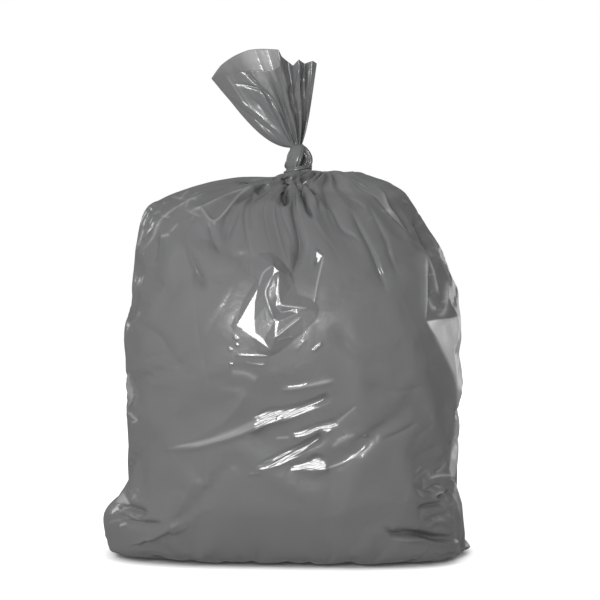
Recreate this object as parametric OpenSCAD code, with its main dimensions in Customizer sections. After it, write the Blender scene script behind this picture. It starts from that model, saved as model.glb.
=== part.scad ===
/* [Floor patch] */
// Width of the flat patch that rests on the floor
floor_w = 486; // [440:1:498]
// Depth of that patch, front to back
floor_d = 196; // [176:1:240]
/* [Foot] */
// Width where the film turns under, just above the floor
foot_w = 512; // [495:1:535]
// Depth there, front to back
foot_d = 292; // [280:1:320]
// Height of the rounded edge under the foot
foot_z = 11; // [8:1:16]
// Angle that the foot is turned by, its right end towards the viewer
foot_angle = 4; // [0:1:12]
/* [Bottom corners] */
// Width over the two bottom corners of the film
corner_w = 516; // [500:1:545]
// Depth of the bag at the height of the corners
corner_d = 346; // [325:1:380]
// Height of the corners above the floor
corner_z = 58; // [45:1:75]
// How far the folded point of the right corner sticks out
ear_out = 14; // [6:1:20]
// Height of that point above the floor
ear_z = 10; // [8:1:20]
/* [Waist] */
// Width of the pinch above the corners
waist_w = 476; // [440:1:500]
// Depth at the pinch
waist_d = 376; // [340:1:420]
// Height of the pinch
waist_z = 122; // [100:1:160]
/* [Belly] */
// Width of the belly, where the contents push out
belly_w = 482; // [455:1:525]
// Depth of the belly
belly_d = 398; // [350:1:430]
// Height of the belly
belly_z = 308; // [250:1:340]
/* [Chest] */
// Width of the chest
chest_w = 450; // [410:1:480]
// Depth of the chest
chest_d = 350; // [310:1:380]
// Height of the chest
chest_z = 416; // [390:1:440]
/* [Shoulders] */
// Width over the shoulders
shoulder_w = 390; // [350:1:405]
// Depth over the shoulders
shoulder_d = 256; // [230:1:290]
// Height of the shoulders
shoulder_z = 497; // [475:1:508]
/* [Crown] */
// Width of the crown, where the film turns in to the neck
crown_w = 300; // [250:1:325]
// Depth of the crown
crown_d = 160; // [140:1:200]
// Height of the crown
crown_z = 531; // [520:1:540]
/* [Neck] */
// Diameter of the gathered neck under the knot
neck_d = 30; // [24:1:36]
// Height of the neck, where the knot grips it
neck_z = 556; // [550:1:566]
// Sideways place of the knot, measured from the middle of the foot
neck_x = 12; // [0:1:20]
/* [Gathers] */
// Number of gathers that run out from the neck
gather_count = 17; // [12:1:20]
// Depth of a gather at its deepest
gather_depth = 11; // [6:0.5:14]
// How far from the neck the longest gather runs
gather_reach = 260; // [180:1:300]
/* [Contents] */
// Height of the lumps that the contents press into the film
lump_h = 5; // [2:0.5:8]
/* [Drape folds] */
// Depth of the folds where slack film sags over the contents
fold_depth = 8; // [4:0.5:11]
// Half width of such a fold
fold_w = 15; // [11:0.5:22]
/* [Knot] */
// Diameter of the gathered film that the knot is tied in
rope_d = 16; // [13:0.5:19]
// Width over the knot
knot_w = 42; // [38:1:48]
// Height over the knot
knot_h = 37; // [34:1:42]
/* [Tail] */
// Length of the tail from the knot to the left end of its mouth
tail_len = 161; // [120:1:180]
// Angle that the tail opens to, seen from the front
tail_fan_angle = 63; // [50:1:76]
// Angle that the middle of the tail leans to the left
tail_lean_angle = 19; // [10:1:28]
// Depth of the tail's mouth, front to back
mouth_d = 44; // [34:1:60]
// How much lower the mouth's front edge lies than its back edge
mouth_slant = 38; // [10:1:50]
// Number of pleats round the mouth
pleat_count = 13; // [9:1:15]
// Depth of the pleats at the mouth
pleat_depth = 6; // [3:0.5:8]
// Thickness of the film at the mouth, with its folded edge
film_t = 1.2; // [0.8:0.1:1.6]
/* [Hidden] */
film_colour = [0.45, 0.45, 0.455];

// Columns of points round the body, and round the tail
body_columns = 84;
tail_columns = 60;
// Rows of points from each section of the body to the next, from the floor up
section_rows = [2, 4, 6, 7, 6, 5, 5, 3, 4];
// Rows of points along the tail, and steps along the knot
tail_rows = 9;
knot_steps = 36;

// Sections of the body: height, width, depth, sideways shift, squareness
sections = [
    [0, floor_w, floor_d, -0.016 * foot_w, 4],
    [foot_z, foot_w, foot_d, -0.014 * foot_w, 3.6],
    [corner_z, corner_w, corner_d, -0.014 * foot_w, 3],
    [waist_z, waist_w, waist_d, 0.012 * foot_w, 2.9],
    [belly_z, belly_w, belly_d, 0.01 * foot_w, 2.8],
    [chest_z, chest_w, chest_d, 0.006 * foot_w, 2.6],
    [shoulder_z, shoulder_w, shoulder_d, -0.021 * foot_w, 2.4],
    [crown_z, crown_w, crown_d, neck_x - 0.016 * foot_w, 2.2],
    [neck_z - neck_d / 10, neck_d * 3.9, neck_d * 2.2, neck_x + neck_d / 2, 2],
    [neck_z, neck_d, neck_d, neck_x, 2]
];
neck_place = [neck_x, 0, neck_z];

// A smooth curve through a list of points, at place u
function spline(keys, u) =
    let (
        last = len(keys) - 1,
        i = max(0, min(floor(u), last - 1)),
        t = u - i,
        a = keys[max(i - 1, 0)],
        b = keys[i],
        c = keys[i + 1],
        d = keys[min(i + 2, last)]
    )
    b + t / 2 * (c - a + t * (2 * a - 5 * b + 4 * c - d + t * (3 * (b - c) + d - a)));

// A smooth bump that is 1 at 0 and has faded away at 2
function bump(x) = exp(-x * x);

// The difference of two angles, from -180 to 180
function turn(a, b) = (a - b + 540) % 360 - 180;

function sum(list, i = 0) = i < len(list) ? list[i] + sum(list, i + 1) : 0;

function unit(v) = v / norm(v);

// Outward direction, from one point of a surface and the points next to it
function outward(here, above, beside) = unit(cross(beside - here, above - here));

// The body before its folds: place u among the sections, direction a from the middle
function body_form(u, a) =
    let (
        s = spline(sections, u),
        across = abs(cos(a)) * 2 / s[1],
        along = abs(sin(a)) * 2 / s[2],
        reach = pow(pow(across, s[4]) + pow(along, s[4]), -1 / s[4]),
        ear = ear_out * bump(turn(a, 0) / 8) * bump(s[0] / ear_z - 1),
        askew = foot_angle * bump(s[0] / waist_z)
    )
    [s[3] + (reach + ear) * cos(a - askew), reach * sin(a - askew), s[0]];

// Gathers: direction and length of each, as uneven as hands leave them
gathers = [
    for (i = [0:gather_count - 1])
        [
            360 / gather_count * (i + 0.3 * sin(137 * i)),
            gather_reach * (0.5 + 0.5 * abs(sin(71 * i + 25)))
        ]
];
gather_half_angle = 100 / gather_count;
grip_depth = neck_d / 10;

// Depth of the gathers at distance s from the neck in direction a
function gathered(s, a) =
    -(grip_depth + (gather_depth - grip_depth) * min(1, s / neck_d / 2)) * max([
        for (g = gathers)
            bump(turn(a, g[0]) / gather_half_angle) * pow(max(0, 1 - s / g[1]), 0.7)
    ]);

// Folds of slack film: direction and share of the neck's height of either end, and share of
// fold_depth, which is above 0 for a furrow and below 0 for a ridge
drape_folds = [
    [236, 0.3, 284, 0.45, 1],
    [250, 0.25, 292, 0.34, -0.6],
    [262, 0.21, 306, 0.35, 0.8],
    [254, 0.59, 262, 0.76, -0.7],
    [270, 0.54, 276, 0.71, 0.7],
    [186, 0.17, 216, 0.19, 1],
    [168, 0.45, 190, 0.41, 0.7],
    [350, 0.2, 318, 0.18, 1],
    [346, 0.13, 312, 0.1, 0.9],
    [4, 0.63, 342, 0.45, 0.8],
    [10, 0.31, 352, 0.22, 0.8],
    [60, 0.32, 112, 0.47, 1],
    [84, 0.2, 130, 0.27, 0.8],
    [40, 0.54, 70, 0.71, 0.7],
    [140, 0.54, 118, 0.67, -0.7],
    [150, 0.17, 122, 0.11, 0.8]
];
mm_per_degree = (belly_w + belly_d) * PI / 720;

// Depth of one fold in direction a at height z
function fold(f, a, z) =
    let (
        run = [turn(f[2], f[0]) * mm_per_degree, (f[3] - f[1]) * neck_z],
        place = [turn(a, f[0]) * mm_per_degree, z - f[1] * neck_z],
        t = min(1, max(0, place * run / (run * run)))
    )
    -f[4] * fold_depth * bump(norm(place - t * run) / fold_w) * (0.35 + 0.65 * sin(180 * t));

function drape(a, z) = sum([for (f = drape_folds) fold(f, a, z)]);

// Contents that press against the film here and there
function lumps(a, z) =
    let (rise = 360 * z / neck_z)
    lump_h * (0.6 * sin(3 * a + rise / 2 + 50) * sin(1.7 * rise + 20) + 0.4 * sin(5 * a - rise + 80));

// A point of the finished body
function body_point(u, a) =
    let (
        here = body_form(u, a),
        side = outward(here, body_form(u + 0.02, a), body_form(u, a + 0.5)),
        s = norm(here - neck_place),
        free = min(1, here[2] / foot_z / 3.6),
        calm = min(1, s / neck_d / 4)
    )
    here + side * free * (gathered(s, a) + calm * (drape(a, here[2]) + lumps(a, here[2])));

// The solid between rings of as many points each, closed by a point at either end
module loft(rings, first, last) {
    n = len(rings[0]);
    top = (len(rings) - 1) * n;
    walls = [
        for (row = [0:n:top - n], i = [0:n - 1])
            let (a = row + i, b = row + (i + 1) % n)
            each [[a, b + n, b], [a, a + n, b + n]]
    ];
    ends = [
        for (i = [0:n - 1])
            let (j = (i + 1) % n)
            each [[top + n, i, j], [top + n + 1, top + j, top + i]]
    ];
    polyhedron([for (ring = rings) each ring, first, last], concat(walls, ends));
}

// The filled body, up to where its film runs into the knot
module body() {
    places = [
        for (i = [0:len(section_rows) - 1], j = [0:section_rows[i] - 1]) i + j / section_rows[i]
    ];
    rings = [
        for (u = concat(places, len(section_rows)))
            [for (i = [1:body_columns]) body_point(u, 360 * i / body_columns)]
    ];
    loft(rings, [0, 0, 0], neck_place + [0, 0, rope_d / 2]);
}

// The knot: the neck passes up through its own loop, as shares of the knot's half sizes
knot_place = neck_place + [1, 0, knot_h / 2 - 1];
knot_run = [
    [0, 0, -1.3],
    [-0.5, 0.4, -0.7],
    [-0.7, 0.8, 0.2],
    [-0.1, 0.9, 0.8],
    [0.8, 0.3, 0.6],
    [1, -0.4, -0.2],
    [0.4, -1, -0.8],
    [-0.5, -0.9, -0.9],
    [-1, 0, -0.5],
    [-0.6, 0.5, 0.3],
    [0.1, 0.2, 0.2],
    [-0.3, -0.7, 0.1],
    [-0.2, -0.5, 0.9],
    [0, 0, 1.5]
];
knot_reach = [knot_w - rope_d, knot_w * 0.8 - rope_d, knot_h - rope_d] / 2;

module knot() {
    last = len(knot_run) - 1;
    function bead(i) =
        let (p = spline(knot_run, last * i / knot_steps))
        knot_place + [for (k = [0:2]) p[k] * knot_reach[k]];
    for (i = [0:knot_steps - 1])
        hull()
            for (place = [bead(i), bead(i + 1)])
                translate(place)
                    sphere(d = rope_d, $fn = 12);
}

// The tail's root, where its film leaves the knot
tail_place = knot_place + [0, 0, knot_h / 2 - rope_d / 2];

// Length of the tail's film in direction a round the mouth, a = 270 at the front
function tail_reach(a) =
    tail_len * (0.9 - 0.11 * cos(a) + 0.05 * sin(a) - 0.12 * bump(turn(a, 52) / 24))
    - mouth_slant * sqrt(max(0, -sin(a))) * (1 - cos(a)) * 0.6;

// The tail's film at share t of its length, in direction a
function tail_form(t, a) =
    let (
        lean = tail_lean_angle * (1.4 - 0.4 * t) - tail_fan_angle / 2 * cos(a) * (1.2 - 0.2 * t),
        root = rope_d / 2 * (1 - t),
        run = t * tail_reach(a)
    )
    tail_place + [
        root * cos(a) - run * sin(lean),
        (root + mouth_d / 2 * t) * sin(a),
        run * cos(lean)
    ];

// Pleats, deeper to the right where the film bunches up
function tail_point(t, a, inside = 0) =
    let (
        here = tail_form(t, a),
        side = outward(here, tail_form(t + 0.02, a), tail_form(t, a + 0.5)),
        share = t * (0.6 + 0.4 * cos(a))
    )
    here + side * (pleat_depth * share * sin(pleat_count * a + 40 * t) - inside);

// The open tail above the knot: its film runs up to the mouth and back down inside
module tail() {
    outside = [for (j = [0:tail_rows]) [j / tail_rows, 0]];
    inside = [for (j = [tail_rows:-1:2]) [j / tail_rows, film_t]];
    rings = [
        for (row = concat(outside, inside))
            [for (i = [1:tail_columns]) tail_point(row[0], 360 * i / tail_columns, row[1])]
    ];
    loft(rings, tail_place - [0, 0, rope_d / 4], tail_place + [0, 0, rope_d]);
}

module bin_bag() {
    color(film_colour)
        union() {
            body();
            knot();
            tail();
        }
}

bin_bag();
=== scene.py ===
import math

import bpy
import numpy as np
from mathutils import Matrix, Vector
from mathutils.geometry import delaunay_2d_cdt


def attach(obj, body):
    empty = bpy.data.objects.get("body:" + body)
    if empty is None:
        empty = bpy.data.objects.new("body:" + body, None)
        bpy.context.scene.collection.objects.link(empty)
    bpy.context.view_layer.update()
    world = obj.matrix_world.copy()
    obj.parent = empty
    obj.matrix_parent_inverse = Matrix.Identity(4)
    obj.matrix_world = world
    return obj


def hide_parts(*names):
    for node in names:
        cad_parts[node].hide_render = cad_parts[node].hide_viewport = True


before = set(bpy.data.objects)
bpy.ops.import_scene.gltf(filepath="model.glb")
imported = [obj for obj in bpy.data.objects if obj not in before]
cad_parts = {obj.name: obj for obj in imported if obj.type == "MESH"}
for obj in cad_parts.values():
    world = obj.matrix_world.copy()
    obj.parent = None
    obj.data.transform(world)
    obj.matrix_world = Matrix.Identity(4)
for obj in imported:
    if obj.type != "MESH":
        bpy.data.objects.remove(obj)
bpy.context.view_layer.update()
bpy.ops.object.select_all(action="DESELECT")

# The camera stands three metres in front of the bag with a long lens, a little above the
# bag's middle, and looks down on it by three degrees.
sight_distance = 3.0
sight_fall = math.radians(3)
sight_aim = np.array([0.016, 0, 0.365])
sight_width = 0.87
sight_ahead = np.array([0, math.cos(sight_fall), -math.sin(sight_fall)])
sight_up = np.array([0, math.sin(sight_fall), math.cos(sight_fall)])
sight_place = sight_aim - sight_distance * sight_ahead
bpy.ops.object.camera_add(location=sight_place, rotation=(math.pi / 2 - sight_fall, 0, 0))
camera = bpy.context.object
camera.name = "camera"
camera.data.sensor_width = 36
camera.data.lens = camera.data.sensor_width * sight_distance / sight_width
bpy.context.scene.camera = camera


def seen(points):
    """Where points show in the picture: millimetres right of the bag's middle and up from the floor."""
    ray = points - sight_place
    near = sight_distance / (ray @ sight_ahead)
    return 1000 * np.stack([ray[..., 0] * near + sight_aim[0], ray @ sight_up * near + sight_aim[2]], axis=-1)


# The studio's lamps: two windows that light the bag from the front left and the back, a softbox
# whose mirror image makes the white glints on the film, and two pale cards behind the bag, which
# the film shows at glancing angles: a wide one right and a small one left.


def lamp(name, place, aim, width, height, radiance):
    """A flat lamp that faces a point."""
    ahead = np.array(aim) - np.array(place)
    flat = math.hypot(ahead[0], ahead[1])
    rotation = (math.atan2(flat, -ahead[2]), 0, math.atan2(-ahead[0], ahead[1]))
    bpy.ops.object.light_add(type="AREA", location=place, rotation=rotation)
    made = bpy.context.object
    made.name = name
    made.data.shape = "RECTANGLE"
    made.data.size = width
    made.data.size_y = height
    made.data.energy = radiance * math.pi * width * height
    return made


bag_middle = (0, 0, 0.3)
window = lamp("window", (-1.9, -1.7, 1.9), bag_middle, 1.2, 1.2, 7)
back_window = lamp("back window", (1.3, 2.4, 1.6), bag_middle, 1.2, 1.2, 6)
softbox_place = np.array([-0.3, -2.4, 0.9])
lamp("softbox", softbox_place, (0, 0, 0.35), 0.55, 0.55, 26)
side_card = lamp("side card", (1.45, 2.75, 0.2), (0.2, 0, 0.25), 2.2, 0.8, 0.55)
back_card = lamp("back card", (-2.3, 3.1, 1.3), (-0.2, 0, 0.1), 0.8, 0.6, 2.0)
for even_light in (window, back_window):
    even_light.visible_glossy = False
for hidden in (window, back_window, side_card, back_card):
    hidden.visible_camera = False

# The body of the sack: a tube of thin grey polythene film, welded along the bottom, filled out
# by what it holds and gathered to a neck. It is a closed skin that follows the solid's
# sections closely, with the film's creases, gathers and folds as moves of its points.
body_sections = np.array([
    # Height, width, depth and sideways shift in metres, and squareness of each section
    (0.000, 0.486, 0.196, -0.0082, 4.0),
    (0.011, 0.512, 0.292, -0.0072, 3.6),
    (0.058, 0.516, 0.346, -0.0072, 3.0),
    (0.122, 0.476, 0.376, 0.0061, 2.9),
    (0.308, 0.482, 0.398, 0.0051, 2.8),
    (0.416, 0.450, 0.350, 0.0031, 2.6),
    (0.497, 0.390, 0.256, -0.0108, 2.4),
    (0.531, 0.300, 0.160, 0.0038, 2.2),
    (0.553, 0.100, 0.066, 0.0340, 2.0),
    (0.556, 0.030, 0.030, 0.0120, 2.0),
])
# The welded corner that sticks out at the right foot, and the turn of the base under the body
ear_out = 0.014
ear_height = 0.010
ear_half_angle = math.radians(8)
foot_angle = math.radians(4)
foot_height = 0.122
neck_place = np.array([0.012, 0, 0.556])


def spline(keys, u):
    """A smooth curve through rows of values, read at places u."""
    last = len(keys) - 1
    i = np.clip(np.floor(u).astype(int), 0, last - 1)
    t = (u - i)[..., None]
    a, b, c, d = (keys[np.clip(i + k, 0, last)] for k in (-1, 0, 1, 2))
    return b + t / 2 * (c - a + t * (2 * a - 5 * b + 4 * c - d + t * (3 * (b - c) + d - a)))


def bump(x):
    """A smooth bump: 1 at 0, gone at 2."""
    return np.exp(-x * x)


def unit(v):
    """The same direction with a length of 1."""
    return v / np.maximum(np.linalg.norm(v, axis=-1, keepdims=True), 1e-12)


def turned(angle, at):
    """How far an angle lies from another, from -pi to pi."""
    return (angle - at + math.pi) % (2 * math.pi) - math.pi


def body_form(u, angle):
    """Points of the body before its folds, at place u among the sections and at an angle round it."""
    height, width, depth, shift, square = np.moveaxis(spline(body_sections, u), -1, 0)
    across = np.abs(np.cos(angle)) * 2 / width
    along = np.abs(np.sin(angle)) * 2 / depth
    reach = (across ** square + along ** square) ** (-1 / square)
    ear = ear_out * bump(turned(angle, 0) / ear_half_angle) * bump(height / ear_height - 1)
    angle = angle - foot_angle * bump(height / foot_height)
    return np.stack([shift + (reach + ear) * np.cos(angle), reach * np.sin(angle), height], axis=-1)


def even(points, values, step):
    """Values at even steps along a line of points, where step may differ from point to point."""
    length = np.linalg.norm(np.diff(points, axis=0), axis=1) / np.broadcast_to(step, len(points))[1:]
    run = np.concatenate([[0], np.cumsum(length)])
    return np.interp(np.linspace(0, run[-1], int(run[-1]) + 1), run, values)


# Two fine lines that the film is measured along: up the front, and round the waist, which lies
# between the fourth and fifth section
waist = 3.7
many = np.linspace(0, len(body_sections) - 1, 4000)
front_line = body_form(many, np.full_like(many, 1.5 * math.pi))
round_it = np.linspace(0, 2 * math.pi, 4000)
waist_line = body_form(np.full_like(round_it, waist), round_it)


def film_grid(row_steps, column_steps):
    """Rows and columns of places on the film, and their points: columns first, rows from the floor up."""
    rows = even(front_line, many, row_steps)[1:]
    columns = even(waist_line, round_it, column_steps)[:-1]
    return rows, columns, body_form(*np.meshgrid(rows, columns))


def facing(grid):
    """The direction that each point of a closed round grid faces."""
    return unit(np.cross(np.roll(grid, -1, axis=0) - np.roll(grid, 1, axis=0), np.gradient(grid, axis=1)))


def grid_faces(columns, rows):
    """Faces of a grid that is closed round."""
    i, k = np.meshgrid(np.arange(columns), np.arange(rows - 1), indexing="ij")
    a, b = i * rows + k, (i + 1) % columns * rows + k
    return np.stack([a, b, b + 1, a + 1], axis=-1).reshape(-1, 4).tolist()


def strokes(grid, columns, draw, rows_of_strokes):
    """Folds drawn on the film at random: how many, how far below the neck they start, their drop,
    how far they run sideways for each step down, their half width and their height, in millimetres."""
    steps = np.linalg.norm(np.diff(grid, axis=1), axis=-1).mean(axis=0)
    below = 1000 * np.append(np.cumsum(steps[::-1])[::-1], 0)[None]
    girth = 1000 * np.linalg.norm(np.roll(grid, -1, axis=0) - grid, axis=-1).sum(axis=0)[None]
    rise = np.zeros(grid.shape[:2])
    for count, starts, drops, slants, half_widths, heights in rows_of_strokes:
        for _ in range(count):
            at, start, drop = draw.uniform(0, 2 * math.pi), draw.uniform(*starts), draw.uniform(*drops)
            slant = draw.uniform(*slants) * draw.choice([-1, 1])
            half_width, height = draw.uniform(*half_widths), draw.uniform(*heights)
            share = (below - start) / drop
            middle = at + slant * (below - start) / 220
            off = turned(columns[:, None], middle) * girth / (2 * math.pi) / math.hypot(1, slant)
            end = np.sin(np.clip(share, 0, 1) * math.pi) ** 0.7
            rise += height * np.exp(-np.abs(off / half_width) ** 1.6) * end
    return rise / 1000


# The film is longer and wider than the form it rests on, so it buckles into creases. A coarse
# copy of it is simulated as cloth that is too large for its place, held where it is tied and
# where the bag rests on the floor, and loosely by its contents elsewhere.
slack_step = 0.009
slack_frames = 20
slack_hold = 0.18
loose_reach = 0.12
slack_rows, slack_columns, slack_form = film_grid(slack_step, slack_step)
slack_start = slack_form + facing(slack_form) * strokes(slack_form, slack_columns, np.random.default_rng(7), [
    (90, (20, 120), (80, 280), (0, 0.25), (6, 14), (-2.2, 1.4)),
    (70, (200, 600), (40, 120), (0.7, 3), (6, 14), (-2.2, 1.4)),
])[..., None] * np.clip(slack_form[..., 2:] / 0.05, 0, 1)
slack_moved = np.zeros(slack_form.shape)
mesh = bpy.data.meshes.new("slack film")
mesh.from_pydata(slack_start.reshape(-1, 3).tolist(), [], grid_faces(*slack_form.shape[:2]))
slack = bpy.data.objects.new("slack film", mesh)
bpy.context.collection.objects.link(slack)
hold = np.full(slack_form.shape[:2], slack_hold)
hold[:, :2] = hold[:, -2:] = 1
held = slack.vertex_groups.new(name="held")
for share in np.unique(hold):
    held.add(np.flatnonzero(hold == share).tolist(), float(share), "REPLACE")
from_neck = np.linalg.norm(slack_form - neck_place, axis=-1)
loose = slack.vertex_groups.new(name="loose")
for i, share in enumerate(bump(from_neck / loose_reach).reshape(-1).tolist()):
    loose.add([i], share, "REPLACE")
bpy.context.view_layer.objects.active = slack
slack.select_set(True)
bpy.ops.object.modifier_add(type="CLOTH")
cloth = slack.modifiers["Cloth"].settings
cloth.quality = 6
cloth.mass = 0.2
cloth.air_damping = 2
cloth.tension_stiffness = cloth.compression_stiffness = 20
cloth.shear_stiffness = 5
cloth.bending_stiffness = 6
cloth.vertex_group_mass = "held"
cloth.pin_stiffness = 1
cloth.vertex_group_shrink = "loose"
# Shrinking below 0 makes the film larger: by 3.5 % all over, and by 25 % at the neck
cloth.shrink_min = -0.035
cloth.shrink_max = -0.25
cloth.effector_weights.gravity = 0
slack.modifiers["Cloth"].collision_settings.use_collision = False
for step in range(1, slack_frames + 1):
    bpy.context.scene.frame_set(step)
bpy.ops.object.modifier_apply(modifier="Cloth")
moved = np.empty(slack_form.size)
mesh.vertices.foreach_get("co", moved)
slack_moved = moved.reshape(slack_form.shape) - slack_form
bpy.context.scene.frame_set(1)
bpy.data.objects.remove(slack)


def read_grid(values, rows, columns, at_rows, at_columns):
    """Values of a coarse round grid, read smoothly at the rows and columns of a fine one."""
    across = 2 + np.interp(at_columns, np.append(columns, 2 * math.pi), np.arange(len(columns) + 1))
    down = np.interp(at_rows, rows, np.arange(len(rows)))
    keys = np.concatenate([values[-2:], values, values[:2]])
    keys = spline(keys.reshape(len(keys), -1), across).reshape(len(across), len(rows), -1)
    keys = np.moveaxis(keys, 1, 0)
    keys = spline(keys.reshape(len(rows), -1), down).reshape(len(down), len(across), -1)
    return np.moveaxis(keys, 1, 0)


# The film's points lie closest where its creases are sharpest, in the middle of the front
crisp_step, fine_step, plain_step, back_step = 0.0010, 0.0015, 0.0020, 0.0040
crumple_height, crumple_across, folds_height = 0.352, -0.02, 0.2
row_steps = np.select([abs(front_line[:, 2] - crumple_height) < 0.065,
                       abs(front_line[:, 2] - folds_height) < 0.09],
                      [crisp_step, fine_step], plain_step)
from_crumple = abs(waist_line[:, 0] - crumple_across)
column_steps = np.select([waist_line[:, 1] > 0.02, from_crumple < 0.07, from_crumple < 0.15],
                         [back_step, crisp_step, fine_step], plain_step)
body_rows, body_columns, body = film_grid(row_steps, column_steps)
body_out = facing(body)
body_seen = seen(body)
in_front = np.einsum("ijk,ijk->ij", body_out, sight_place - body) > 0

# Broad hollow of the front: place in the picture, half width, half height, lift
front_hollow = (-40, 178, 120, 70, -9)
# Hollows and swells of the outline: direction in degrees, height, half angle, half height, lift
side_swells = [
    (180, 515, 60, 24, -7),
    (180, 368, 30, 60, -4),
    (180, 264, 25, 30, -4),
    (180, 90, 30, 9, 4),
    (180, 28, 30, 24, -9),
    (0, 515, 50, 24, -3),
    (0, 462, 40, 30, -5),
    (0, 380, 25, 15, 5),
    (0, 298, 25, 25, -4),
]
# How much of the slack film's creases shows: all of it at the sides and back, less in front,
# and least in calm places, each with its place, half width, half height and share taken off
slack_front = 0.65
slack_most = 0.009
calm_places = [(-10, 335, 220, 120, 0.92), (-30, 180, 190, 90, 0.8), (0, 40, 200, 50, 0.8)]


def spot(places, across, up, half_width, half_height):
    """A smooth bump round one place in the picture."""
    return bump((places[..., 0] - across) / half_width) * bump((places[..., 1] - up) / half_height)


swell = in_front * front_hollow[-1] * spot(body_seen, *front_hollow[:-1])
for at, up, half_angle, half_height, lift in side_swells:
    from_side = turned(body_columns[:, None], math.radians(at)) / math.radians(half_angle)
    swell += lift * bump(from_side) * bump((1000 * body[..., 2] - up) / half_height)
in_view = np.clip(np.einsum("ijk,ijk->ij", body_out, unit(sight_place - body)) * 2, 0, 1)
calm_share = np.ones(body.shape[:2])
for *place, share in calm_places:
    calm_share *= 1 - share * spot(body_seen, *place) * in_view
slack_share = (1 - (1 - slack_front) * in_view) * calm_share
moved = read_grid(slack_moved, slack_rows, slack_columns, body_rows, body_columns)
swollen = np.einsum("ijk,ijk->ij", moved, body_out).mean()
moved = (moved - swollen * body_out) * slack_share[..., None]
moved *= np.minimum(1, slack_most / np.maximum(np.linalg.norm(moved, axis=-1, keepdims=True), 1e-9))
body = body + moved + body_out * swell[..., None] / 1000

# The main gathers: folds that run out from the neck, as many and as long as on the solid. In
# front, right under the knot, they give way to the photograph's own folds.
gather_count = 17
gather_reach = 0.26
gather_depth = 0.011
grip_depth = 0.003
from_neck = np.linalg.norm(body - neck_place, axis=-1)
gathered = np.zeros(body.shape[:2])
for i in range(gather_count):
    at = 2 * math.pi / gather_count * (i + 0.3 * math.sin(math.radians(137 * i)))
    length = gather_reach * (0.5 + 0.5 * abs(math.sin(math.radians(71 * i + 25))))
    off = np.abs(turned(body_columns[:, None], at)) / math.radians(100 / gather_count)
    gathered = np.maximum(gathered, np.exp(-off ** 1.5) * np.clip(1 - from_neck / length, 0, 1) ** 0.7)
gathered *= -(grip_depth + (gather_depth - grip_depth) * np.minimum(1, from_neck / 0.06))
under_knot = (18, 528)
under_knot_reach = 42
gathers_off, pleats_off = 0.6, 0.85
in_reach = in_view * bump(np.linalg.norm(body_seen - under_knot, axis=-1) / under_knot_reach)
gathered *= 1 - gathers_off * in_reach
pleats_fine = strokes(body, body_columns, np.random.default_rng(11), [
    (90, (-5, 10), (30, 140), (0, 0.12), (1.5, 3.5), (-4, -1)),
    (90, (15, 90), (60, 240), (0, 0.3), (2, 5), (-2.6, 1.6)),
    (50, (120, 300), (80, 240), (0.1, 0.7), (4, 9), (-2.4, 1.6)),
])
pleats_fine = pleats_fine * calm_share * (1 - pleats_off * in_reach) * np.clip(from_neck / 0.05, 0, 1)
body = body + body_out * (gathered + pleats_fine)[..., None]
body[..., 2] = np.maximum(body[..., 2], 0)
body_out = facing(body)
body_seen = seen(body)
front_half = (body[..., 1] < 0) & (body_out[..., 2] > -0.3)
# How far each point rises from the film so far, in millimetres, and how much light is painted into the film's
# colour there
body_rise = np.zeros(body.shape[:2])
painted_light = np.zeros(body.shape[:2])


def smooth(share):
    """Eases a share from 0 to 1, flat at both ends."""
    share = np.clip(share, 0, 1)
    return share * share * (3 - 2 * share)


def near_line(places, line):
    """Share of a line that each place has passed, and how far left of the line the place lies."""
    knots = np.array(line, dtype=float)
    line = spline(knots, np.linspace(0, len(knots) - 1, 8 * (len(knots) - 1) + 1))
    length = np.linalg.norm(np.diff(line, axis=0), axis=1)
    passed = np.concatenate([[0], np.cumsum(length)]) / length.sum()
    gap = np.full(len(places), np.inf)
    share = np.zeros(len(places))
    left = np.zeros(len(places))
    for i, (a, b) in enumerate(zip(line[:-1], line[1:])):
        run = b - a
        t = np.clip((places - a) @ run / (run @ run), 0, 1)
        off = places - a - t[:, None] * run
        away = np.hypot(off[:, 0], off[:, 1])
        nearer = away < gap
        gap[nearer] = away[nearer]
        share[nearer] = (passed[i] + t * (passed[i + 1] - passed[i]))[nearer]
        left[nearer] = (np.sign(run[0] * off[:, 1] - run[1] * off[:, 0]) * away)[nearer]
    return share, left


def around(places, marks, room):
    """Which places lie in the box round some marks, with room on every side."""
    marks = np.array(marks)
    return np.all((places > marks.min(axis=0) - room) & (places < marks.max(axis=0) + room), axis=-1)


def fold(rise, places, where, line, height, left, right, ends=0.3):
    """Lifts the film along a line by a height, or sinks it, in millimetres. The slopes reach
    left and right of the line, and the fold grows and fades over a share of its length."""
    near = where & around(places, line, 3 * max(left, right) + 6)
    share, off = near_line(places[near], line)
    shape = np.exp(-np.abs(off / np.where(off > 0, left, right)) ** 1.4)
    rise[near] += height * shape * smooth(share / ends) * smooth((1 - share) / ends)


def within(places, outline):
    """How deep inside an outline each place lies, below 0 outside."""
    outline = np.array(outline, dtype=float)
    gap = np.full(len(places), np.inf)
    inside = np.zeros(len(places), dtype=bool)
    for a, b in zip(outline, np.roll(outline, -1, axis=0)):
        run = b - a
        t = np.clip((places - a) @ run / (run @ run), 0, 1)
        gap = np.minimum(gap, np.linalg.norm(places - a - t[:, None] * run, axis=1))
        crossing = (a[1] > places[:, 1]) != (b[1] > places[:, 1])
        rise_run = np.where(b[1] == a[1], 1, b[1] - a[1])
        inside ^= crossing & (places[:, 0] < a[0] + (places[:, 1] - a[1]) * run[0] / rise_run)
    return np.where(inside, gap, -gap)


def below_mirror(points, out, places, touch):
    """How far points lie below the plane that mirrors the softbox to the camera, along the way
    that they face and in millimetres. The plane touches the film at one place in the picture."""
    touch = points[np.argmin(np.linalg.norm(places - touch, axis=1))]
    mirror = unit(unit(softbox_place - touch) + unit(sight_place - touch))
    return 1000 * ((touch - points) @ mirror) / (out @ mirror)


# How far in from its edge the crumple grows to its full form, in millimetres
crumple_fade = 5


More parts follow.
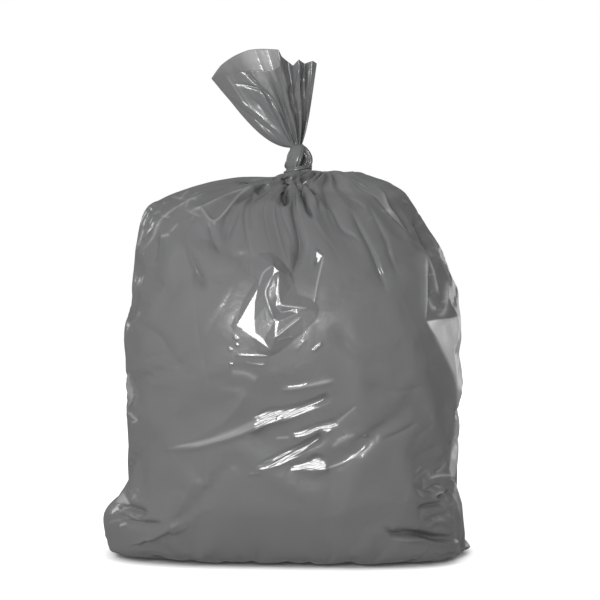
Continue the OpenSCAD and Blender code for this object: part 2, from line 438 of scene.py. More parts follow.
def crumple(points, out, rise, places, where, middle, proud, creases, edge):
    """Crumples the film into flat facets between creases: lines of picture places and heights,
    in millimetres, above a plane that mirrors the softbox to the camera and stands proud of the
    middle. A facet of one height shines, and slopes between heights don't. Round the edge the
    film is as it was."""
    marks, lines = {}, []
    for crease in creases:
        chain = [marks.setdefault(tuple(mark[:2]), (len(marks), mark[2]))[0] for mark in crease]
        lines += list(zip(chain[:-1], chain[1:]))
    edge = np.array(edge, dtype=float)
    quarters = np.linspace(0, 1, 5)[:-1, None]
    edge = np.concatenate([a + (b - a) * quarters for a, b in zip(edge, np.roll(edge, -1, axis=0))])
    flat_marks = np.array(list(marks) + edge.tolist(), dtype=float)
    near = where & around(places, flat_marks, 0)
    here, there = points[near], places[near]
    flat = proud + below_mirror(here, out[near], there, middle)
    rest = [-flat[np.argmin(np.linalg.norm(there - place, axis=1))] for place in edge]
    heights = np.array([height for _, height in marks.values()] + rest)
    faces, whose = delaunay_2d_cdt([Vector(m) for m in flat_marks], lines, [], 0, 1e-4)[2:4]
    lift = np.full(len(here), np.nan)
    for face in faces:
        a, b, c = (flat_marks[whose[i][0]] for i in face)
        tall = heights[[whose[i][0] for i in face]]
        ab, ac, ap = b - a, c - a, there - a
        size = ab[0] * ac[1] - ab[1] * ac[0]
        v = (ap[:, 0] * ac[1] - ap[:, 1] * ac[0]) / size
        w = (ab[0] * ap[:, 1] - ab[1] * ap[:, 0]) / size
        inside = (v >= -1e-9) & (w >= -1e-9) & (v + w <= 1 + 1e-9)
        lift[inside] = (tall[0] + v * (tall[1] - tall[0]) + w * (tall[2] - tall[0]))[inside]
    calm = smooth(within(there, edge) / crumple_fade)
    rise[near] += np.where(np.isnan(lift), 0, (flat + np.nan_to_num(lift)) * calm)


# The folds that the front shows one by one: line, height, slopes to its left and right
front_folds = [
    # Gathers that run down from the knot
    ([(1, 545), (-5, 519), (-7, 500)], -15, 3.5, 3.5),
    ([(9, 548), (6, 519), (6, 490), (14, 439), (2, 389)], -9, 7, 4.5),
    ([(16, 546), (28, 535), (44, 517)], -12, 3.5, 4),
    ([(-12, 543), (4, 541)], -8, 3, 3),
    ([(11, 545), (11, 520), (11, 495)], 4, 4, 4),
    ([(20, 542), (33, 517), (43, 498)], 4, 3, 4),
    ([(7, 546), (14, 533), (20, 522), (27, 500), (38, 481)], -13, 3, 3.5),
    ([(49, 521), (65, 492), (78, 468), (96, 457), (105, 442)], -3, 2, 5),
    ([(84, 506), (90, 496), (111, 457), (127, 422), (145, 368)], -4.5, 2, 6),
    ([(110, 510), (116, 501), (140, 455), (148, 429), (160, 396)], -2.5, 2, 5),
    ([(80, 515), (96, 509), (113, 497)], -2, 2, 4),
    ([(117, 541), (135, 517), (142, 499), (162, 474), (189, 439)], 5, 4, 8),
    ([(138, 526), (154, 503), (173, 468), (195, 441)], -8, 3, 4),
    ([(177, 490), (193, 459), (206, 429)], -7, 3, 4),
    ([(188, 452), (197, 433), (198, 389), (198, 332)], 5, 2.5, 5),
    ([(201, 429), (208, 408), (212, 389), (220, 371)], 3, 2, 4),
    ([(230, 395), (228, 365), (212, 342)], 3, 2.5, 4),
    # Lapped folds on the left shoulder
    ([(-149, 490), (-129, 498), (-107, 479), (-73, 515), (-48, 532)], 3, 2, 4),
    ([(-145, 492), (-114, 505), (-85, 518), (-50, 530), (-13, 543)], 3, 2, 5),
    ([(-172, 495), (-143, 508), (-111, 525)], 3, 2.5, 4),
    ([(-172, 496), (-188, 474), (-197, 455)], 2.5, 2.5, 4),
    ([(-180, 484), (-197, 466), (-211, 449), (-221, 422)], 2.5, 2.5, 4),
    ([(-53, 527), (-51, 516), (-61, 497)], -2, 2, 4),
    ([(-50, 521), (-30, 534)], -9, 4, 4),
    ([(-79, 534), (-46, 541), (-9, 544)], -9, 3, 3),
    ([(-114, 482), (-113, 463), (-98, 429)], -3, 4, 4),
    ([(-149, 459), (-141, 422), (-117, 377)], -4.5, 5, 5),
    ([(-69, 509), (-83, 474), (-98, 439)], -3.5, 4, 7),
    ([(-191, 459), (-195, 416)], -3, 4, 4),
    # The edge of the pale side on the right
    ([(200, 331), (212, 311), (226, 282), (238, 256), (243, 229), (240, 188), (232, 120)], 3, 5, 8),
    ([(202, 329), (220, 338), (247, 343)], 3, 4, 4),
    # Soft folds of the middle and both sides
    ([(-225, 275), (-186, 286), (-157, 271), (-161, 258)], -2.5, 8, 8),
    ([(-182, 146), (-97, 186), (-52, 246)], 3, 12, 12),
    ([(60, 330), (95, 290), (150, 262)], -3, 10, 12),
    ([(100, 250), (150, 232), (205, 240)], -3, 8, 10),
    ([(-216, 412), (-190, 387), (-164, 365)], -4, 12, 12),
    ([(-227, 336), (-190, 313), (-176, 293), (-158, 281)], -4, 10, 9),
    ([(-141, 410), (-132, 397), (-120, 386)], -2, 7, 7),
    ([(-235, 258), (-222, 229), (-226, 222)], 3, 3, 4),
    ([(-234, 205), (-220, 191)], 3, 3, 4),
    ([(132, 161), (161, 173), (189, 189)], -3, 3, 3),
    ([(81, 150), (123, 176), (157, 199)], -1.8, 5, 7),
    ([(174, 131), (200, 146), (227, 159)], -1.8, 5, 7),
    ([(172, 154), (200, 178), (217, 193)], -1.8, 5, 7),
    ([(68, 188), (102, 210)], -1.5, 5, 7),
    # The folded corner on the left
    ([(-252, 71), (-231.6, 65), (-213, 59), (-203.6, 51.6)], -9, 4, 6),
    ([(-257, 61), (-246, 53.7), (-230.6, 45.4), (-213, 41.2), (-178, 40)], -8, 4, 6),
    ([(-246, 37), (-237, 41.5)], 3, 2.5, 3),
    ([(-242, -5), (-213, 11), (-174, 34), (-140, 46)], 5, 7, 14),
    ([(-208, -1), (-161, 18), (-118, 22), (-76, 33)], -2, 5, 9),
    # The folded corner on the right, and the flap under it
    ([(134, 38), (150, 25), (166, 23), (194, 23), (219, 17.5), (250, 18.5)], -15, 5, 2.5),
    ([(150, 19), (166, 17), (194, 17), (219, 12), (250, 13)], 5, 3, 4),
    ([(160, 27), (190, 26.5), (214, 22), (244, 22)], -8, 2, 2),
    ([(150, 32), (166, 30), (185, 29)], -3, 3, 3),
    ([(187, -16), (217, -4), (255, 4), (268, 11)], 3, 4, 5),
    ([(240, 92), (228, 84), (213, 79)], -9, 4, 3),
    ([(213, 81), (220, 85), (228, 85), (232, 82)], 3, 2, 2),
    ([(184, 61), (201, 67), (219, 70), (228, 75)], -8, 3, 3),
    ([(176, 100), (200, 92), (226, 98)], -4, 3, 4),
    ([(190, 46), (216, 51), (238, 60)], -4, 3, 4),
    ([(203, 33), (222, 39), (242, 35)], -4, 3, 3),
    ([(201, 106), (219, 111), (240, 110)], 3, 3, 4),
    ([(-13, -8), (51, 8), (106, -12)], -1.5, 4, 6),
]
for line, height, left, right in front_folds:
    fold(body_rise, body_seen, front_half, line, height, left, right)

# Where the film is bunched small, with random folds: middle, half width and half height, how
# many folds, and their height
bunched = [
    ((214, 78), (26, 44), 26, 3.2),
    ((-236, 66), (18, 26), 14, 3.0),
    ((-180, 490), (44, 26), 20, 1.6),
    ((218, 400), (16, 52), 14, 1.8),
    ((-233, 225), (10, 40), 9, 2.0),
    ((150, 500), (40, 30), 12, 1.6),
]
draw = np.random.default_rng(3)
for middle, half, count, most in bunched:
    for _ in range(count):
        at = np.array(middle) + draw.uniform(-1, 1, 2) * half
        run = draw.uniform(5, 15) * np.array([math.cos(draw.uniform(0, math.pi)), draw.uniform(-1, 1)])
        line = [at - run, at + draw.uniform(-2, 2, 2), at + run]
        height, half_width = draw.uniform(-1, 0.6) * most, draw.uniform(1.8, 3.4)
        fold(body_rise, body_seen, front_half, line, height, half_width, 1.3 * half_width)
        # Each random fold also gets a faint painted highlight along it
        fold(painted_light, body_seen, front_half, line, draw.uniform(0, 0.18), 1.2, 1.2)

# The crumpled dent that catches the light in the middle of the front
crumple(body, body_out, body_rise, body_seen, front_half, (-35, 340), 0.6, [
    [(-44, 383, 0), (-76, 329, 0), (-52, 311, 0), (-27, 293, 0), (-36, 307.5, 0), (-49, 318, 0),
     (-50, 336, 0), (-49, 360, 0), (-44, 383, 0)],
    [(-23.5, 397, 3), (-33.5, 377, 3), (-30.4, 359.6, 3), (-23.5, 342, 3), (-20, 336, 3), (-20.4, 310, 3)],
    [(-23.5, 397, 3), (-21, 410, 3), (-13, 402.5, 3), (-23.5, 397, 3)],
    [(-13, 402.5, 3), (-14.5, 396, 1.6), (-15.4, 373.5, 1.6), (-13, 359.6, 1.6), (-8.4, 356, 1.6),
     (10, 354, 0.2), (19.4, 351.5, -0.8), (30, 352, -2.2)],
    [(19.4, 351.5, -0.8), (19.4, 342, -0.8), (30, 352, -2.2)],
    [(19.4, 342, -0.8), (-3, 324, 1.2), (-18, 311, 2.8), (-20.4, 310, 3)],
    [(-20, 336, 3), (-14, 334, 3), (-20.4, 310, 3)],
    [(-14, 334, 3), (12, 345, 0.3), (19.4, 342, -0.8)],
    [(-19, 356, 1.2), (-12, 347, 0), (0, 349, -0.8)],
    [(-2, 400, -4.5), (0, 378, -4)],
], [
    (-50, 392), (-74, 412), (-52, 432), (-24, 436), (-6, 420), (8, 400), (14, 374), (32, 368),
    (46, 356), (42, 338), (26, 320), (5, 303), (-13, 288), (-27, 282), (-53, 290), (-76, 306),
    (-86, 327), (-78, 346), (-64, 369),
])

# Thin ridges that shine as lines: line, height, slopes to its left and right
thin_creases = [
    # Round the crumple
    ([(-44, 382), (-38.6, 399), (-27, 408), (-21, 410)], 0.5, 1.3, 1.3),
    ([(-23.5, 397), (-33.5, 377), (-30.4, 359.6), (-23.5, 342), (-20, 336)], 1.0, 1.5, 1.5),
    ([(-14.5, 398), (-15.4, 373.5), (-13, 359.6)], 0.5, 1.3, 1.3),
    ([(-13, 359.6), (-8.4, 356), (10, 354), (19.4, 351.5), (30, 352)], 0.8, 1.3, 1.3),
    ([(-20, 310), (-3, 324), (19.4, 341)], 0.9, 1.4, 1.4),
    ([(50.8, 431.5), (41.5, 390), (35.7, 357)], 1.1, 1.5, 1.5),
    ([(-81, 313), (-73, 306)], 0.8, 1.6, 1.6),
    ([(-78, 302), (-73, 298)], 0.7, 1.4, 1.4),
    ([(-89, 296), (-83, 291)], 0.8, 1.6, 1.6),
    ([(-80, 285), (-55, 284), (-27, 283)], 0.6, 1.3, 1.3),
    ([(-88, 273), (-80, 271)], 0.7, 1.6, 1.6),
    ([(-66, 274.5), (-50, 271.5), (-32, 270)], 0.5, 1.6, 2),
    ([(-87, 260), (-65, 258), (-43, 248)], 1.0, 3, 4),
    ([(-17, 306), (7, 311.5)], 0.7, 1.5, 1.5),
    ([(34, 290), (49, 303)], 0.9, 1.8, 2.2),
    ([(8, 291), (26, 308)], 0.25, 3, 3),
    # Among the slack folds lower down
    ([(-186, 147), (-133, 150), (-68, 169), (-30, 188)], 1.3, 15, 3),
    ([(-150, 158), (-110, 169), (-60, 188)], 0.5, 4, 3),
    ([(-120, 156), (-80, 169), (-40, 188)], 0.4, 2, 2),
    ([(-17, 234), (11, 236), (30, 240), (66, 246)], 1.3, 8, 3),
    ([(-46, 124), (-20, 134), (8, 147), (34, 161)], 0.8, 1.6, 1.6),
    ([(-34, 119), (-4, 129), (26, 145), (48, 162)], 0.8, 1.6, 1.6),
    ([(-59, 112), (-40, 113)], 0.9, 1.3, 1.5),
    ([(48, 121), (71, 125), (95, 138), (111, 152), (113, 160)], 0.5, 1.2, 1.4),
    ([(-6, 238), (12, 239), (30, 243)], 1.2, 2, 2.5),
    ([(46, 157), (54, 171), (63, 176)], 0.8, 1.3, 1.5),
    ([(-53, 194), (-42, 194)], 0.5, 1.5, 1.5),
    ([(-19, 194), (-8, 194)], 0.5, 1.5, 1.5),
    ([(67, 157), (90, 169)], 0.8, 3, 3),
]
for line, height, left, right in thin_creases:
    fold(body_rise, body_seen, front_half, line, height, left, right, 0.15)

# Slack folds across the lower front that hang over their lower edge: reach of the drop below it
# and of the slope above, share of the length at either end that fades, how far in front of the
# bag's middle they are whole, and the ripples on them
flap_drop, flap_blend, flap_ends = 4.0, 9.0, 0.12
flap_whole = 0.03
streak_rise, streak_gap = 0.2, 5


def flap(points, out, rise, places, where, lower, upper, touch):
    """A slack fold: between its lower and upper line the film lies in the plane that mirrors the
    softbox to the camera, and it touches the rest at one place."""
    near = where & around(places, lower + upper, flap_blend + 4 * flap_drop)
    here, there = points[near], places[near]
    flat = below_mirror(here, out[near], there, touch) * smooth(-here[:, 1] / flap_whole)
    share, over = near_line(there, lower)
    _, above = near_line(there, upper)
    flat = flat + streak_rise * np.sin(over * 2 * math.pi / streak_gap + 3 * np.sin(9 * share))
    under = np.exp(-np.abs(over / flap_drop) ** 1.4)
    shape = np.where(over < 0, under, np.where(above > 0, 1 - smooth(above / flap_blend), 1))
    rise[near] += flat * shape * smooth(share / flap_ends) * smooth((1 - share) / flap_ends)


front_flaps = [
    # Lower edge, upper edge, place of touch
    ([(-60, 171), (-30, 186), (2, 194), (30, 208), (64, 226)],
     [(-60, 173), (-36, 199), (2, 205), (30, 213), (64, 227)], (2, 200)),
    ([(1, 165), (29, 170), (48, 176), (76, 188)],
     [(1, 166), (24, 174), (45, 181), (76, 189)], (36, 175)),
    ([(-52, 116), (-26, 124), (2, 136), (30, 152), (54, 171)],
     [(-52, 117), (-32, 127), (-4, 141), (26, 155), (53, 173)], (0, 138)),
    ([(-3, 119), (15, 119), (30, 118.5), (46, 119), (60, 121)],
     [(-3, 119.5), (11, 123), (26, 128), (42, 135), (60, 124)], (28, 123)),
    ([(37, 421), (42, 419.5), (47, 426), (51, 431)],
     [(37, 423), (39, 430), (42, 434.5), (51, 433)], (43, 428)),
]
for lower, upper, touch in front_flaps:
    flap(body, body_out, body_rise, body_seen, front_half, lower, upper, touch)

# Painted light: in these places the film's colour is painted paler to stand for light that comes through
# the film where it stands clear of what it holds, for reflections at its edges and for glints, and along
# sharp creases it is whitened as painted highlights. Painted places grow softer towards the side and
# fade out behind it, and they are less pale low down.
painted_light_places = [
    # Outline, strength, how far its edge blends
    # The pale right side: painted light through the film and painted reflection of the card beside it
    ([(198, 335), (203, 325), (212, 311), (226, 282), (238, 256), (243, 229), (240, 188), (231, 120),
      (234, 108), (320, 90), (330, 230), (320, 344), (247, 343), (222, 339)], 0.8, 3),
    # Painted glints on the left corner and on the left shoulder
    ([(-240, 92), (-256, 72), (-231, 68)], 0.7, 2),
    ([(-187, 512), (-175, 515), (-181, 502)], 0.3, 2),
    # Painted light on the crown right of the knot, where the film faces up
    ([(28, 560), (100, 560), (170, 520), (150, 505), (90, 512), (40, 520)], 0.06, 14),
    # Painted glints on the left edge, and a painted sheen along the streak low on the left
    ([(-240, 262), (-236, 260), (-223, 230), (-234, 204), (-250, 215)], 0.3, 2),
    ([(-184, 148), (-133, 150), (-68, 168.6), (-30, 187),
      (-37, 198.6), (-72.5, 185), (-114.5, 168.6), (-161, 156.6)], 0.2, 6),
]
fading = (0.7 + 0.3 * smooth((body_seen[..., 1] - 230) / 110)) * smooth((0.05 - body[..., 1]) / 0.1)
softer = 30 * smooth((body[..., 1] + 0.06) / 0.1)
for outline, strength, blend in painted_light_places:
    from_edge = within(body_seen.reshape(-1, 2), outline).reshape(body.shape[:2])
    painted_light = np.maximum(painted_light, strength * smooth(from_edge / (blend + softer)) * fading)
# Painted highlights along sharp creases, whitened in colour: line, strength, half width
painted_highlights = [
    # The right side's edges
    ([(200, 331), (212, 311), (226, 282), (238, 256), (243, 229), (240, 188), (232, 120)], 0.4, 1.5),
    ([(197, 433), (198, 389), (198, 332)], 0.4, 1.3),
    ([(230, 396), (228, 368), (225, 348), (212, 341)], 0.4, 3.2),
    ([(197, 435), (206, 413), (210, 398), (214.6, 378), (221, 374)], 0.4, 1.6),
    ([(199, 370), (208, 354.5), (214.6, 354)], 0.3, 2.5),
    ([(206, 459), (219, 430.6), (245, 365)], 0.2, 1.3),
    # The shoulders
    ([(132, 522), (145, 496), (167, 472), (182, 450)], 0.28, 2.2),
    ([(-149, 490), (-129, 498), (-107, 479), (-73, 515), (-48, 532)], 0.2, 1.4),
    ([(-145, 492), (-114, 505), (-85, 518), (-50, 530)], 0.17, 1.4),
    ([(-110, 524), (-175, 491), (-196, 458), (-217, 431)], 0.2, 1.3),
    ([(-145, 525.5), (-161, 509)], 0.15, 1.3),
    ([(-128.5, 523.5), (-161, 497.5)], 0.12, 1.3),
    ([(-186.5, 457), (-172.5, 460.5)], 0.25, 1.6),
    ([(-211, 470), (-213, 460), (-220, 440)], 0.4, 1.3),
    # The left edge and both corners
    ([(-236, 259), (-223, 230)], 0.3, 1.2),
    ([(-233, 204), (-221, 191), (-231, 187)], 0.35, 1.2),
    ([(-250, 276), (-238, 282)], 0.2, 1.3),
    ([(-246, 37), (-237, 41.5)], 0.35, 1.5),
    ([(201, 106), (219, 111), (240, 110)], 0.3, 1.6),
    ([(213, 81), (220, 85), (228, 85), (232, 82)], 0.5, 1.6),
    # The crumple
    ([(-44, 382), (-38.6, 399), (-27, 408), (-21, 410)], 0.25, 1.0),
    ([(-23.5, 397), (-33.5, 377), (-30.4, 359.6), (-23.5, 342)], 0.5, 1.0),
    ([(-14.5, 398), (-15.4, 373.5), (-13, 359.6), (-8.4, 356), (10, 354), (30, 352)], 0.5, 1.0),
    ([(-19, 311), (-3, 324), (19.4, 341)], 0.5, 1.0),
    ([(50.8, 431.5), (41.5, 390), (35.7, 357)], 0.3, 1.1),
    ([(-87, 260), (-65, 258), (-43, 248)], 0.12, 4),
    # The slack folds across the front
    ([(-13, 236.6), (15, 239), (70, 250.6)], 0.25, 2.2),
    ([(-20, 165), (2, 166)], 0.25, 1.2),
    ([(66, 184), (85, 200), (100, 212)], 0.2, 1.6),
    ([(60, 152), (80, 163), (97, 172)], 0.2, 2.2),
    ([(49, 119), (72, 127), (98, 139), (115, 150), (121, 161)], 0.35, 1.2),
    ([(-170, 151), (-110, 163), (-60, 182)], 0.12, 1.2),
    ([(-150, 151), (-90, 165), (-45, 184)], 0.12, 1.2),
]
for line, strength, half_width in painted_highlights:
    fold(painted_light, body_seen, front_half, line, strength, half_width, half_width, 0.2)

# The front's folds end where the side begins, and nothing sinks under the floor
side_fade = 0.018
body_rise *= smooth(-body[..., 1] / side_fade)
bag_points = body + body_out * body_rise[..., None] / 1000
bag_points[..., 2] = np.maximum(bag_points[..., 2], 0)


def skin(grid, first=None, last=None):
    """Points and faces over a grid that is closed round, closed at either end that has a pole."""
    columns, rows = grid.shape[:2]
    faces = grid_faces(columns, rows)
    points = [*grid.reshape(-1, 3)]
    ring = np.arange(columns) * rows
    for pole, k, way in ((first, 0, 1), (last, rows - 1, -1)):
        if pole is not None:
            pairs = np.stack([np.roll(ring, -1) + k, ring + k], axis=-1)[:, ::way]
            faces += [(a, b, len(points)) for a, b in pairs.tolist()]
            points.append(np.array(pole))
    return points, faces


def film_piece(name, skins):
    """One piece of film made of several closed skins."""
    points, faces = [], []
    for more_points, more_faces in skins:
        faces += [tuple(i + len(points) for i in face) for face in more_faces]
        points += more_points
    mesh = bpy.data.meshes.new(name)
    mesh.from_pydata([tuple(p) for p in points], [], faces)
    mesh.shade_smooth()
    mesh.materials.append(film)
    piece = bpy.data.objects.new(name, mesh)
    bpy.context.collection.objects.link(piece)
    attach(piece, "root")
    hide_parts("bin_bag")
    return piece


def paint_light(piece, share):
    """Stores how much painted light each point of a piece carries, which its material reads as a paler
    colour.
    """
    layer = piece.data.attributes.new("painted_light", "FLOAT", "POINT")
    layer.data.foreach_set("value", share.reshape(-1).astype(np.float32))


# The film's finish: glossy grey polythene with fine creases, its grey painted paler, up to nearly white,
# where light and highlights are painted in
film = bpy.data.materials.new("film")
film.use_nodes = True
nodes, links = film.node_tree.nodes, film.node_tree.links
shader = nodes["Principled BSDF"]
shader.inputs["Roughness"].default_value = 0.3
shader.inputs["Coat Weight"].default_value = 0.6
shader.inputs["Coat Roughness"].default_value = 0.1
painted_light_attribute = nodes.new("ShaderNodeAttribute")
painted_light_attribute.attribute_name = "painted_light"
# The film's grey is mixed towards nearly white by the painted light
painted_light_mix = nodes.new("ShaderNodeMix")
painted_light_mix.data_type = "RGBA"
painted_light_mix.inputs["A"].default_value = (0.152, 0.153, 0.156, 1)
painted_light_mix.inputs["B"].default_value = (0.8, 0.8, 0.8, 1)
film_place = nodes.new("ShaderNodeTexCoord")
fine_creases = nodes.new("ShaderNodeTexNoise")
fine_creases.inputs["Scale"].default_value = 45
fine_creases.inputs["Detail"].default_value = 5
fine_creases.inputs["Distortion"].default_value = 1.2
relief = nodes.new("ShaderNodeBump")
relief.inputs["Strength"].default_value = 0.2
relief.inputs["Distance"].default_value = 0.002
links.new(painted_light_attribute.outputs["Fac"], painted_light_mix.inputs["Factor"])
links.new(painted_light_mix.outputs["Result"], shader.inputs["Base Color"])
links.new(film_place.outputs["Object"], fine_creases.inputs["Vector"])
links.new(fine_creases.outputs["Fac"], relief.inputs["Height"])
links.new(relief.outputs["Normal"], shader.inputs["Normal"])
links.new(relief.outputs["Normal"], shader.inputs["Coat Normal"])

neck_rise = 0.006
bag = film_piece("bag", [skin(bag_points, (0, 0, 0), neck_place + (0, 0, neck_rise))])
paint_light(bag, np.append(painted_light, [0, 0]))

# The knot: the gathered neck turned once round itself and pulled tight, so that its pleated
# film shows as a broad strand in front, a lobe on the right and a band round the base.
knot_middle = np.array([0.014, 0, 0.5684])
knot_strands = [
    # Path from the knot's middle in millimetres, half width and half thickness of the strand
    ([(2, 3, 19), (-1, -7, 16), (-4, -12, 5), (-8, -12, -6), (-11, -8, -13), (-9, 2, -16)], 11.5, 5),
    ([(3, 4, 17), (8, -3, 14), (14, -5, 5), (15, -5, -4), (10, -6, -13), (3, -2, -18)], 7, 5),
    ([(3, 8, 16), (2, 14, 6), (0, 14, -5), (-3, 9, -15)], 11, 5),
    ([(-2, 4, 15), (-10, 4, 9), (-13, 5, -3), (-13, 3, -14)], 7, 5),
]
band_path = [(13, -6, -12), (6, -15, -14), (-5, -17, -16.5), (-14, -12, -19), (-16, 1, -20),
             (-10, 11, -19), (2, 14, -17), (13, 9, -14.5), (15, 1, -12)]
band_half_width, band_half_thick = 6, 5
strand_sides, strand_steps = 72, 60
strand_pleats = 11


def strand(path, half_width, half_thick, seed):
    """A flattened strand of pleated film along a path round the knot."""
    path = spline(np.array(path, dtype=float), np.linspace(0, len(path) - 1, strand_steps))
    ahead = unit(np.gradient(path, axis=0))
    away = unit(path - np.sum(path * ahead, axis=1, keepdims=True) * ahead)
    side = np.cross(ahead, away)
    turn = np.linspace(0, 2 * math.pi, strand_sides, endpoint=False)[:, None]
    run = np.linspace(0, 1, strand_steps)[None, :]
    draw = np.random.default_rng(seed)
    puff = np.zeros((strand_sides, strand_steps))
    for _ in range(strand_pleats):
        at, sway, deep = draw.uniform(0, 2 * math.pi), draw.uniform(-0.8, 0.8), draw.uniform(0.8, 2.4)
        gap = turned(turn, at + sway * run)
        puff -= deep * np.exp(-np.abs(gap / draw.uniform(0.08, 0.22)) ** 1.2)
    # The strand keeps its width for most of its run and narrows at both ends
    ends = np.sqrt(np.clip(1.02 - (2 * run - 1) ** 8, 0.02, 1))
    wide = (half_width * ends)[..., None] * np.cos(turn)[..., None] * side[None]
    tall = (half_thick * ends)[..., None] * np.sin(turn)[..., None] * away[None]
    out = np.cos(turn)[..., None] * side[None] + np.sin(turn)[..., None] * away[None]
    grid = path[None] + wide + tall + out * puff[..., None]
    return skin(knot_middle + grid[::-1] / 1000, knot_middle + path[0] / 1000, knot_middle + path[-1] / 1000)


knot_skins = [strand(path, wide, thick, 5 + i) for i, (path, wide, thick) in enumerate(knot_strands)]
knot_skins.append(strand(band_path + band_path[:1], band_half_width, band_half_thick, 21))
knot = film_piece("knot", knot_skins)

# The tail: the sack's open mouth above the knot, a flattened tube of the same film that fans
# out to the left, with its front edge lower than its back edge and deep pleats on the right.
# Both layers are one closed band, thickened by a Solidify modifier.
tail_root = np.array([0.0095, 0, 0.585])
tail_rows = 90
tail_front_columns, tail_back_columns = 230, 150
tail_middle_turn = -18.5
# Left of this direction the random pleats are shallower
tail_calm_turn = -24
# How much more each direction of the film leans where it leaves the knot
tail_bends = [(-50, 0.62), (-18.5, 0.5), (14, 0.2)]
film_thick = 0.0005
# Length of the film in each direction, in millimetres and degrees from upright
back_mouth = [(-50, 161), (-41.8, 163), (-34, 161), (-25.6, 157.6), (-17.9, 151), (-10, 144), (-9, 134),
              (-2.1, 117.5), (2, 127), (6.1, 122.5), (11.1, 127.8), (14, 125.5)]
front_mouth = [(-50, 161), (-44.6, 149), (-39.8, 140.5), (-34.4, 133.5), (-26, 122.6), (-16, 114.7),
               (-11, 118), (-9.4, 133), (-2, 117.5), (2, 126), (6, 122), (11, 127), (14, 125.5)]
# Depth of the pleats in each direction at the mouth, towards the front above 0
pleats = [(-50, 0), (-16, 0), (-10.3, 9), (-5.5, -7), (2, 9), (5.8, -6), (11, 6), (14, 0)]


def eased_between(table, places):
    """Values between the rows of a table, eased from one row to the next."""
    at, value = np.transpose(table)
    i = np.clip(np.searchsorted(at, places) - 1, 0, len(at) - 2)
    share = smooth((places - at[i]) / (at[i + 1] - at[i]))
    return value[i] + share * (value[i + 1] - value[i])


def tail_layer(mouth, columns, side, depth):
    """One layer of the tail from its left edge to its right: the front one has side -1."""
    turns = np.linspace(mouth[0][0], mouth[-1][0], columns)
    reach = np.interp(turns, *np.transpose(mouth))[:, None] / 1000
    share = np.linspace(0, 1, tail_rows)[None]
    # The film leans out most where it leaves the knot, and a little back towards the mouth
    bend = np.interp(turns, *np.transpose(tail_bends))[:, None] * (2.5 * (1 - share) ** 4 - 0.45)
    lean = np.radians(turns[:, None] + (turns[:, None] - tail_middle_turn) * bend)
    step = reach / (tail_rows - 1)
    across = np.cumsum(np.sin(lean) * step, axis=1) - np.sin(lean[:, :1]) * step
    up = np.cumsum(np.cos(lean) * step, axis=1) - np.cos(lean[:, :1]) * step
    round_it = np.linspace(0, math.pi, columns)[:, None]
    open_up = side * (0.006 * (1 - share) + depth * share) * np.sin(round_it) ** 0.6
    fold_out = -eased_between(pleats, turns)[:, None] / 1000 * share ** 0.9
    draw = np.random.default_rng(5 + side)

    def pleat(at, sway, wide):
        return np.exp(-np.abs((turns[:, None] - at - sway * share) / wide) ** 1.3)

    # Grooves that start at the knot, then random pleats that reach the mouth
    for _ in range(14):
        at, sway, wide = draw.uniform(-46, 12), draw.uniform(-3, 3), draw.uniform(1, 2.6)
        calm = 0.4 + 0.6 * (at > tail_calm_turn)
        grown = smooth(share / 0.1) * smooth((draw.uniform(0.5, 0.9) - share) / 0.4)
        fold_out = fold_out + side * -0.0035 * calm * grown * pleat(at, sway, wide)
    for _ in range(34):
        at, sway, wide = draw.uniform(-48, 12), draw.uniform(-4, 4), draw.uniform(0.7, 2.2)
        calm = (1 if side < 0 else 0.4) * (0.4 + 0.6 * (at > tail_calm_turn))
        deep = draw.uniform(-2.8, 1.0) / 1000 * min(1, wide) * calm
        grown = smooth(share / draw.uniform(0.2, 0.7)) * smooth((1.3 - share) / draw.uniform(0.3, 0.9))
        fold_out = fold_out + deep * grown * pleat(at, sway, wide)
    root = -0.007 * np.cos(round_it) * (1 - share)
    return np.stack([across + root, open_up + fold_out, up], axis=-1) + tail_root


tail_front = tail_layer(front_mouth, tail_front_columns, -1, 0.016)
tail_back = tail_layer(back_mouth, tail_back_columns, 1, 0.018)
tail = np.concatenate([tail_front, tail_back[::-1][1:-1]])
tail_out = facing(tail)
tail_rise = np.zeros(tail.shape[:2])
tail_seen = seen(tail)
tail_is_front = np.zeros(tail.shape[:2], dtype=bool)
tail_is_front[:tail_front_columns] = True
tail_folds = [
    # Folds of the tail's front layer: line, height, slopes to the left and right
    ([(-86, 707), (-61, 694), (-43, 675), (-30, 663), (-12, 641), (4, 598)], -2.2, 1.2, 2),
    ([(-86, 680), (-63, 677), (-39, 669), (-27, 654), (-7, 630), (6, 598)], -2, 1.2, 2),
    ([(-30, 696), (-13, 658), (7, 604)], -2.5, 1.5, 3),
    ([(1, 677), (9, 634)], -4, 2, 3),
    ([(23, 706), (20, 670), (14, 623)], -4, 2, 3),
    ([(-9, 699), (-1, 667)], 2, 1.5, 1.5),
    ([(16, 713), (13, 684), (7, 641)], 2.5, 1.5, 1.5),
    ([(-100, 668), (-60, 636), (-12, 598)], -1, 2, 4),
    ([(-80, 660), (-40, 630), (-4, 596)], 0.5, 2, 2),
    ([(-60, 664), (-30, 634), (0, 598)], -1.2, 2, 5),
    ([(-45, 650), (-20, 622), (4, 594)], 0.5, 2, 2),
]
for line, height, left, right in tail_folds:
    fold(tail_rise, tail_seen, tail_is_front, line, height, left, right)
tail = tail + tail_out * tail_rise[..., None] / 1000
tail_piece = film_piece("tail", [skin(tail)])
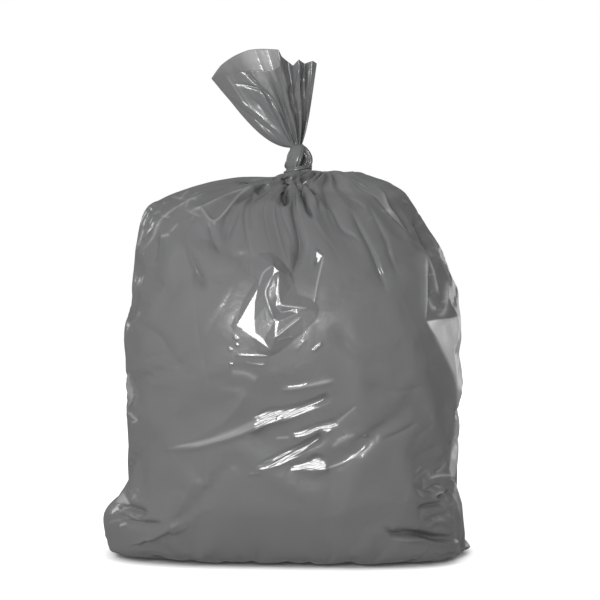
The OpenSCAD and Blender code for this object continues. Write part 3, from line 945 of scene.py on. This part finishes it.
# Behind the front layer's edge the film is single, and its colour is painted paler for the light through it,
# most of all in a stretch near the middle
single_painted_light = 0.25
front_turns = np.linspace(-50, 14, tail_front_columns)
back_turns = np.linspace(14, -50, tail_back_columns)[1:-1]
tail_turns = np.concatenate([front_turns, back_turns])
back_length = np.interp(tail_turns, *np.transpose(back_mouth))[:, None] * np.linspace(0, 1, tail_rows)
front_length = np.interp(tail_turns, *np.transpose(front_mouth))[:, None]
single = smooth((back_length - front_length + 3) / 4) * ~tail_is_front
clearest = smooth((tail_turns + 32) / 5) * (tail_turns < -11)
paint_light(tail_piece, single * (single_painted_light * (0.35 + 0.65 * clearest))[:, None])
bpy.ops.object.select_all(action="DESELECT")
bpy.context.view_layer.objects.active = tail_piece
tail_piece.select_set(True)
bpy.ops.object.modifier_add(type="SOLIDIFY")
tail_piece.modifiers["Solidify"].thickness = film_thick
tail_piece.modifiers["Solidify"].offset = -1
bpy.ops.object.modifier_apply(modifier="Solidify")

# The floor: a matt white sheet that reaches past the picture. It glows a little to the camera
# so that it stays white, less right beside the bag, and looks dim in the film's own gloss.
bpy.ops.mesh.primitive_plane_add(size=30, location=(0, 0, -0.0005))
floor = bpy.context.object
floor.name = "floor"
paper = bpy.data.materials.new("paper")
paper.use_nodes = True
nodes, links = paper.node_tree.nodes, paper.node_tree.links
surface = nodes["Material Output"].inputs["Surface"]
matte = nodes["Principled BSDF"]
matte.inputs["Base Color"].default_value = (0.8, 0.8, 0.8, 1)
matte.inputs["Roughness"].default_value = 0.9
glow = nodes.new("ShaderNodeEmission")
sight = nodes.new("ShaderNodeLightPath")
level = nodes.new("ShaderNodeMath")
level.operation = "MULTIPLY"
open_air = nodes.new("ShaderNodeAmbientOcclusion")
open_air.inputs["Distance"].default_value = 0.022
lift = nodes.new("ShaderNodeMath")
lift.operation = "MULTIPLY"
lift.inputs[1].default_value = 0.7
both = nodes.new("ShaderNodeAddShader")
dull = nodes.new("ShaderNodeEmission")
dull.inputs["Color"].default_value = (0.2, 0.2, 0.2, 1)
shown = nodes.new("ShaderNodeMixShader")
links.new(open_air.outputs["AO"], lift.inputs[0])
links.new(sight.outputs["Is Camera Ray"], level.inputs[0])
links.new(lift.outputs["Value"], level.inputs[1])
links.new(level.outputs["Value"], glow.inputs["Strength"])
links.new(matte.outputs["BSDF"], both.inputs[0])
links.new(glow.outputs["Emission"], both.inputs[1])
links.new(sight.outputs["Is Glossy Ray"], shown.inputs["Fac"])
links.new(both.outputs["Shader"], shown.inputs[1])
links.new(dull.outputs["Emission"], shown.inputs[2])
links.new(shown.outputs["Shader"], surface)
floor.data.materials.append(paper)

# The room: an open studio, white behind the bag where the camera sees it, with soft even light
# on the bag, and dim in the film's own gloss.
world = bpy.data.worlds.new("room")
bpy.context.scene.world = world
world.use_nodes = True
nodes, links = world.node_tree.nodes, world.node_tree.links
soft = nodes["Background"]
soft.inputs["Color"].default_value = (0.4, 0.4, 0.4, 1)
sight = nodes.new("ShaderNodeLightPath")
dim = nodes.new("ShaderNodeBackground")
dim.inputs["Color"].default_value = (0.2, 0.2, 0.2, 1)
white = nodes.new("ShaderNodeBackground")
white.inputs["Color"].default_value = (1, 1, 1, 1)
gloss = nodes.new("ShaderNodeMixShader")
view = nodes.new("ShaderNodeMixShader")
links.new(sight.outputs["Is Glossy Ray"], gloss.inputs["Fac"])
links.new(soft.outputs["Background"], gloss.inputs[1])
links.new(dim.outputs["Background"], gloss.inputs[2])
links.new(sight.outputs["Is Camera Ray"], view.inputs["Fac"])
links.new(gloss.outputs["Shader"], view.inputs[1])
links.new(white.outputs["Background"], view.inputs[2])
links.new(view.outputs["Shader"], nodes["World Output"].inputs["Surface"])

bpy.context.scene.view_settings.view_transform = "Standard"
